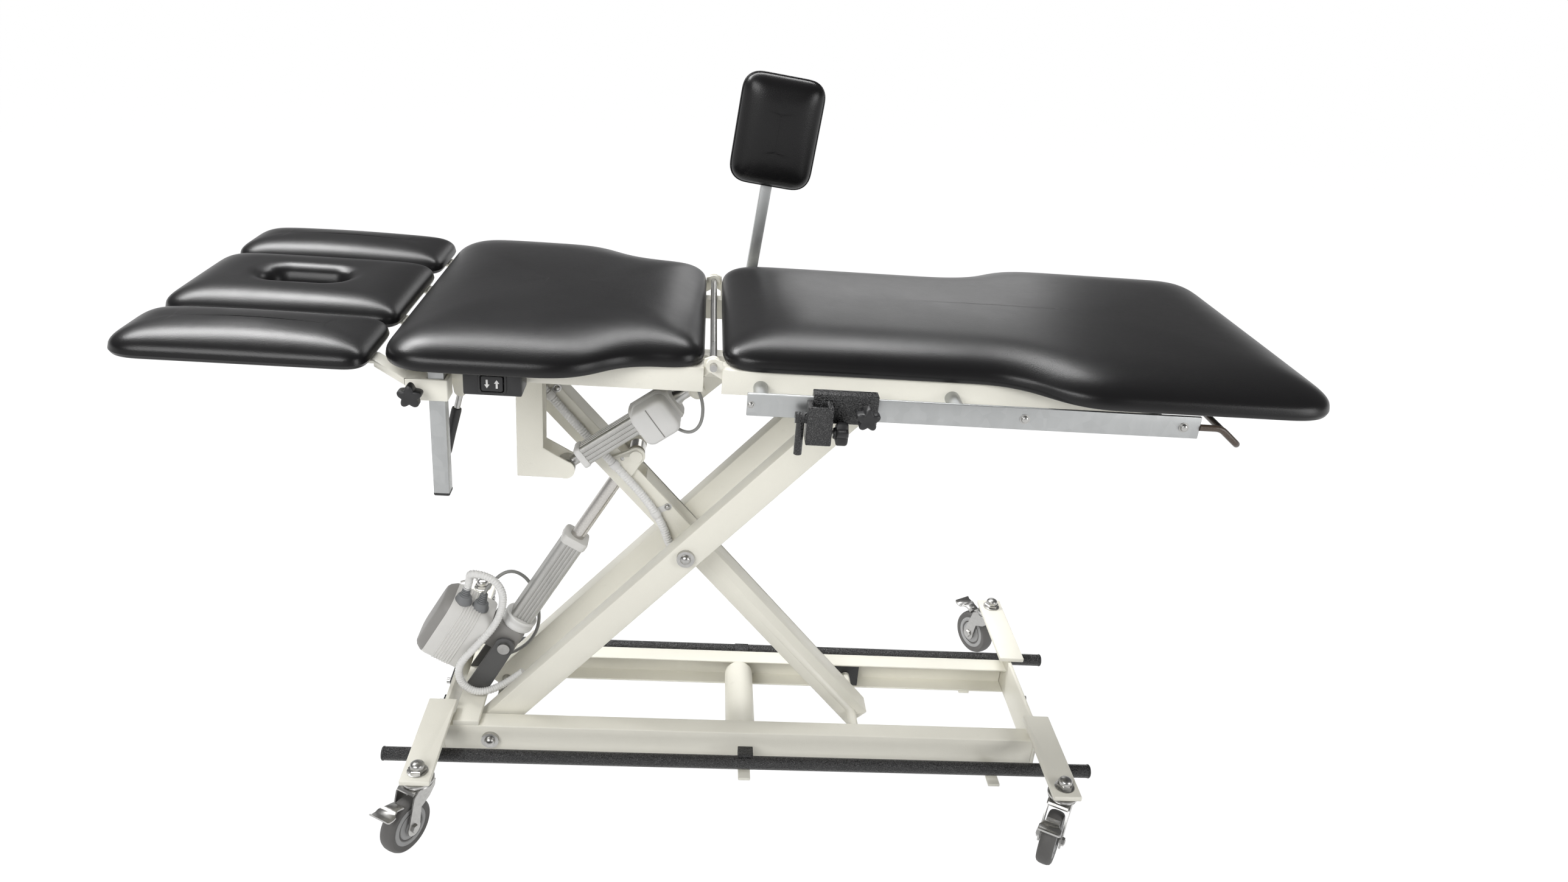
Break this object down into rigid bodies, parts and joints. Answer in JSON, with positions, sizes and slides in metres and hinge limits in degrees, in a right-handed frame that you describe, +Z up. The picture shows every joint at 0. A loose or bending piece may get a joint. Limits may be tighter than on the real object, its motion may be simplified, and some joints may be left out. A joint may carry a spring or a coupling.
{
  "type": "hi-lo treatment table",
  "caption": "Electric hi-lo treatment table on a scissor lift with braked casters, tilting back and head, drop arm pads, foot bars, side rails and a clamp-on leg pad.",
  "frame": {"origin": "on the floor under the middle of the whole table", "axes": "+Z up, +X towards the foot end, +Y towards the far side, with the hinge across Y"},
  "size_m": [1.915, 0.8118, 1.328],
  "materials": {
    "cream_enamel": "satin cream powder coat",
    "black_enamel": "black hammered powder coat",
    "zinc": "zinc plated steel",
    "chrome": "polished steel",
    "vinyl": "smooth black vinyl",
    "grey_plastic": "light grey moulded plastic",
    "black_plastic": "black moulded plastic",
    "wheel_rubber": "grey caster rubber",
    "aluminium": "extruded aluminium",
    "bronze_rod": "dark bronze coated rod"
  },
  "bodies": {
    "base": {"base_rails": "cream_enamel", "base_ends": "cream_enamel", "base_crossmembers": "cream_enamel", "lift_lugs": "black_enamel", "base_fasteners": "zinc"},
    "outer_arms": {"near_outer_arm": "cream_enamel", "far_outer_arm": "cream_enamel", "outer_arm_shafts": "cream_enamel"},
    "inner_arm": {"inner_arm": "cream_enamel"},
    "slide_blocks": {"slide_blocks": "grey_plastic"},
    "top": {"top_frame": "cream_enamel", "leg_frame": "cream_enamel", "hinge_pin": "zinc", "leg_cushion": "vinyl", "accessory_rails": "zinc", "foot_loop": "bronze_rod"},
    "lift_actuator": {"lift_tube": "aluminium", "lift_motor": "grey_plastic"},
    "lift_rod": {"lift_rod": "chrome"},
    "back": {"back_frame": "cream_enamel", "back_cushion": "vinyl", "drop_bracket": "cream_enamel", "arm_posts": "zinc", "control_box": "black_plastic"},
    "back_rod": {"back_rod": "chrome"},
    "back_actuator": {"back_drive": "aluminium", "back_motor": "grey_plastic"},
    "rocker": {"rocker": "black_plastic"},
    "head": {"head_frame": "cream_enamel", "head_cushion": "vinyl"},
    "head_lever": {"head_lever": "black_plastic"},
    "near_arm_rest": {"near_arm_carrier": "cream_enamel", "near_arm_cushion": "vinyl"},
    "near_arm_knob": {"near_arm_knob": "black_plastic"},
    "near_foot_bar": {"near_foot_bar": "black_enamel"},
    "far_arm_rest": {"far_arm_carrier": "cream_enamel", "far_arm_cushion": "vinyl"},
    "far_arm_knob": {"far_arm_knob": "black_plastic"},
    "far_foot_bar": {"far_foot_bar": "black_enamel"},
    "near_clamp": {"near_clamp_jaw": "black_enamel"},
    "near_socket": {"near_clamp_socket": "black_enamel"},
    "near_jaw_knob": {"near_jaw_knob": "black_plastic"},
    "near_ratchet": {"near_ratchet": "black_plastic"},
    "near_socket_knob": {"near_socket_knob": "black_plastic"},
    "far_clamp": {"far_clamp_jaw": "black_enamel"},
    "far_socket": {"far_clamp_socket": "black_enamel"},
    "leg_support": {"leg_support_post": "zinc", "leg_support_pad": "vinyl"},
    "head_near_caster": {"head_near_caster_fork": "zinc"},
    "head_near_caster_wheel": {"head_near_caster_wheel": "wheel_rubber"},
    "head_near_caster_pedal": {"head_near_caster_pedal": "zinc"},
    "head_far_caster": {"head_far_caster_fork": "zinc"},
    "head_far_caster_wheel": {"head_far_caster_wheel": "wheel_rubber"},
    "head_far_caster_pedal": {"head_far_caster_pedal": "zinc"},
    "foot_near_caster": {"foot_near_caster_fork": "zinc"},
    "foot_near_caster_wheel": {"foot_near_caster_wheel": "wheel_rubber"},
    "foot_near_caster_pedal": {"foot_near_caster_pedal": "zinc"},
    "foot_far_caster": {"foot_far_caster_fork": "zinc"},
    "foot_far_caster_wheel": {"foot_far_caster_wheel": "wheel_rubber"},
    "foot_far_caster_pedal": {"foot_far_caster_pedal": "zinc"}
  },
  "joints": [
    {"name": "lift", "type": "hinge", "parent": "base", "child": "outer_arms", "pos_m": [-0.451, 0, 0.082], "axis": [0, -1, 0], "range_deg": [-22, 0]},
    {"name": "scissor_fold", "type": "hinge", "parent": "outer_arms", "child": "inner_arm", "pos_m": [-0.08491, 0, 0.48574], "axis": [0, -1, 0], "range_deg": [0, 44]},
    {"name": "block_level", "type": "hinge", "parent": "inner_arm", "child": "slide_blocks", "pos_m": [0.28118, 0, 0.082], "axis": [0, -1, 0], "range_deg": [-22, 0]},
    {"name": "top_level", "type": "hinge", "parent": "inner_arm", "child": "top", "pos_m": [-0.451, 0, 0.88948], "axis": [0, -1, 0], "range_deg": [-22, 0]},
    {"name": "lift_drive_swing", "type": "hinge", "parent": "base", "child": "lift_actuator", "pos_m": [-0.438, 0, 0.23], "axis": [0, -1, 0], "range_deg": [-24.3, 0]},
    {"name": "lift_stroke", "type": "slide", "parent": "lift_actuator", "child": "lift_rod", "axis": [0.5027, 0, 0.8644], "range_m": [-0.118, 0]},
    {"name": "back_tilt", "type": "hinge", "parent": "top", "child": "back", "pos_m": [-0.056, 0, 0.93198], "axis": [0, 1, 0], "range_deg": [0, 54]},
    {"name": "back_rod_swing", "type": "hinge", "parent": "back", "child": "back_rod", "pos_m": [-0.31, -0.07, 0.65798], "axis": [0, 1, 0], "range_deg": [0, 7]},
    {"name": "back_stroke", "type": "slide", "parent": "back_rod", "child": "back_actuator", "axis": [0.805, 0, 0.5933], "range_m": [0, 0.088]},
    {"name": "rocker_press", "type": "hinge", "parent": "back", "child": "rocker", "pos_m": [-0.397, -0.294, 0.90298], "axis": [1, 0, 0], "range_deg": [-6, 6], "stiffness_Nm_per_rad": 0.4},
    {"name": "head_tilt", "type": "hinge", "parent": "back", "child": "head", "pos_m": [-0.57, 0, 0.91598], "axis": [0, 1, 0], "range_deg": [-40, 15]},
    {"name": "head_release", "type": "hinge", "parent": "back", "child": "head_lever", "pos_m": [-0.46, -0.222, 0.86198], "axis": [0, 1, 0], "range_deg": [-15, 15], "stiffness_Nm_per_rad": 0.6},
    {"name": "near_arm_slide", "type": "slide", "parent": "back", "child": "near_arm_rest", "axis": [0, 0, -1], "range_m": [0, 0.13]},
    {"name": "near_arm_knob_turn", "type": "hinge", "parent": "near_arm_rest", "child": "near_arm_knob", "pos_m": [-0.5185, -0.3, 0.88198], "axis": [0, 1, 0], "continuous": true},
    {"name": "near_foot_bar_press", "type": "hinge", "parent": "base", "child": "near_foot_bar", "pos_m": [0.052, -0.035, 0.086], "axis": [1, 0, 0], "range_deg": [-3.5, 3.5], "stiffness_Nm_per_rad": 120},
    {"name": "far_arm_slide", "type": "slide", "parent": "back", "child": "far_arm_rest", "axis": [0, 0, -1], "range_m": [0, 0.13]},
    {"name": "far_arm_knob_turn", "type": "hinge", "parent": "far_arm_rest", "child": "far_arm_knob", "pos_m": [-0.5185, 0.3, 0.88198], "axis": [0, 1, 0], "continuous": true},
    {"name": "far_foot_bar_press", "type": "hinge", "parent": "base", "child": "far_foot_bar", "pos_m": [0.052, 0.035, 0.086], "axis": [1, 0, 0], "range_deg": [-3.5, 3.5], "stiffness_Nm_per_rad": 120},
    {"name": "near_clamp_slide", "type": "slide", "parent": "top", "child": "near_clamp", "axis": [1, 0, 0], "range_m": [-0.09, 0.15]},
    {"name": "near_socket_swing", "type": "hinge", "parent": "near_clamp", "child": "near_socket", "pos_m": [0.11, -0.3486, 0.88698], "axis": [0, 1, 0], "range_deg": [0, 30]},
    {"name": "near_jaw_knob_turn", "type": "hinge", "parent": "near_clamp", "child": "near_jaw_knob", "pos_m": [0.1845, -0.35, 0.90098], "axis": [0, 1, 0], "continuous": true},
    {"name": "near_ratchet_turn", "type": "hinge", "parent": "near_socket", "child": "near_ratchet", "pos_m": [0.081, -0.3486, 0.89498], "axis": [1, 0, 0], "range_deg": [-90, 30]},
    {"name": "near_socket_knob_turn", "type": "hinge", "parent": "near_socket", "child": "near_socket_knob", "pos_m": [0.14, -0.3486, 0.87098], "axis": [1, 0, 0], "continuous": true},
    {"name": "far_clamp_slide", "type": "slide", "parent": "top", "child": "far_clamp", "axis": [1, 0, 0], "range_m": [0, 0.2]},
    {"name": "far_socket_swing", "type": "hinge", "parent": "far_clamp", "child": "far_socket", "pos_m": [0.018, 0.3486, 0.88698], "axis": [0, 1, 0], "range_deg": [-5, 15]},
    {"name": "leg_support_slide", "type": "slide", "parent": "far_socket", "child": "leg_support", "axis": [0.1045, 0, 0.9945], "range_m": [-0.06, 0.12]},
    {"name": "head_near_caster_swivel", "type": "hinge", "parent": "base", "child": "head_near_caster", "pos_m": [-0.548, -0.31, 0.13], "axis": [0, 0, 1], "continuous": true},
    {"name": "head_near_caster_roll", "type": "hinge", "parent": "head_near_caster", "child": "head_near_caster_wheel", "pos_m": [-0.567, -0.34291, 0.052], "axis": [0.866, -0.5, 0], "continuous": true},
    {"name": "head_near_caster_brake", "type": "hinge", "parent": "head_near_caster", "child": "head_near_caster_pedal", "pos_m": [-0.577, -0.36023, 0.1085], "axis": [0.866, -0.5, 0], "range_deg": [0, 10]},
    {"name": "head_far_caster_swivel", "type": "hinge", "parent": "base", "child": "head_far_caster", "pos_m": [-0.548, 0.31, 0.13], "axis": [0, 0, 1], "continuous": true},
    {"name": "head_far_caster_roll", "type": "hinge", "parent": "head_far_caster", "child": "head_far_caster_wheel", "pos_m": [-0.567, 0.34291, 0.052], "axis": [-0.866, -0.5, 0], "continuous": true},
    {"name": "head_far_caster_brake", "type": "hinge", "parent": "head_far_caster", "child": "head_far_caster_pedal", "pos_m": [-0.577, 0.36023, 0.1085], "axis": [-0.866, -0.5, 0], "range_deg": [0, 10]},
    {"name": "foot_near_caster_swivel", "type": "hinge", "parent": "base", "child": "foot_near_caster", "pos_m": [0.652, -0.31, 0.13], "axis": [0, 0, 1], "continuous": true},
    {"name": "foot_near_caster_roll", "type": "hinge", "parent": "foot_near_caster", "child": "foot_near_caster_wheel", "pos_m": [0.633, -0.34291, 0.052], "axis": [0.866, -0.5, 0], "continuous": true},
    {"name": "foot_near_caster_brake", "type": "hinge", "parent": "foot_near_caster", "child": "foot_near_caster_pedal", "pos_m": [0.623, -0.36023, 0.1085], "axis": [0.866, -0.5, 0], "range_deg": [0, 10]},
    {"name": "foot_far_caster_swivel", "type": "hinge", "parent": "base", "child": "foot_far_caster", "pos_m": [0.652, 0.31, 0.13], "axis": [0, 0, 1], "continuous": true},
    {"name": "foot_far_caster_roll", "type": "hinge", "parent": "foot_far_caster", "child": "foot_far_caster_wheel", "pos_m": [0.633, 0.34291, 0.052], "axis": [-0.866, -0.5, 0], "continuous": true},
    {"name": "foot_far_caster_brake", "type": "hinge", "parent": "foot_far_caster", "child": "foot_far_caster_pedal", "pos_m": [0.623, 0.36023, 0.1085], "axis": [-0.866, -0.5, 0], "range_deg": [0, 10]}
  ],
  "couplings": [
    {"joint": "scissor_fold", "follows": "lift", "ratio": -2},
    {"joint": "block_level", "follows": "lift", "ratio": 1},
    {"joint": "top_level", "follows": "lift", "ratio": 1},
    {"joint": "lift_drive_swing", "follows": "lift", "ratio": 1.104},
    {"joint": "lift_stroke", "follows": "lift", "m_per_rad": 0.3065},
    {"joint": "back_rod_swing", "follows": "back_tilt", "ratio": 0.1271},
    {"joint": "back_stroke", "follows": "back_tilt", "m_per_rad": 0.0929}
  ]
}
